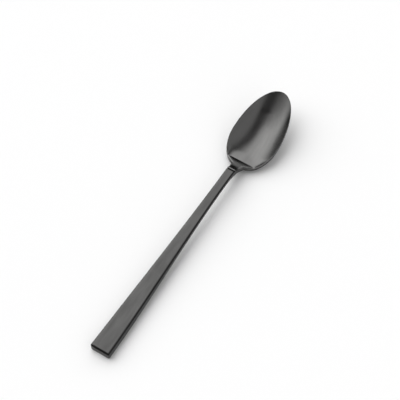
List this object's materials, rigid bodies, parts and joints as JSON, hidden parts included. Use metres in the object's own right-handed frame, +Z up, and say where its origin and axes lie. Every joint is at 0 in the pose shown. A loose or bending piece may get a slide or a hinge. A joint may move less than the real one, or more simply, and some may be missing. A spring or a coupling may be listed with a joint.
{
  "type": "long-handled teaspoon",
  "caption": "Long-handled spoon in dark brushed steel, with a small oval bowl, a ramped neck and a flat handle that widens and thickens towards its end.",
  "frame": {"origin": "on the table under the middle of the spoon's length", "axes": "+X from the handle's end to the bowl's tip, +Z up out of the bowl, +Y to the left when looking towards the bowl"},
  "size_m": [0.1956, 0.0308, 0.0169],
  "materials": {
    "coated_steel": "dark coating, brushed along the length",
    "plate_steel": "dark coating, brushed along the length",
    "pin_steel": "bare steel, ground ends"
  },
  "bodies": {
    "root": {"bowl_and_shank": "coated_steel", "handle_cover_plate": "plate_steel", "dowel_pin_1": "pin_steel", "dowel_pin_2": "pin_steel", "dowel_pin_3": "pin_steel", "dowel_pin_4": "pin_steel"}
  },
  "joints": []
}
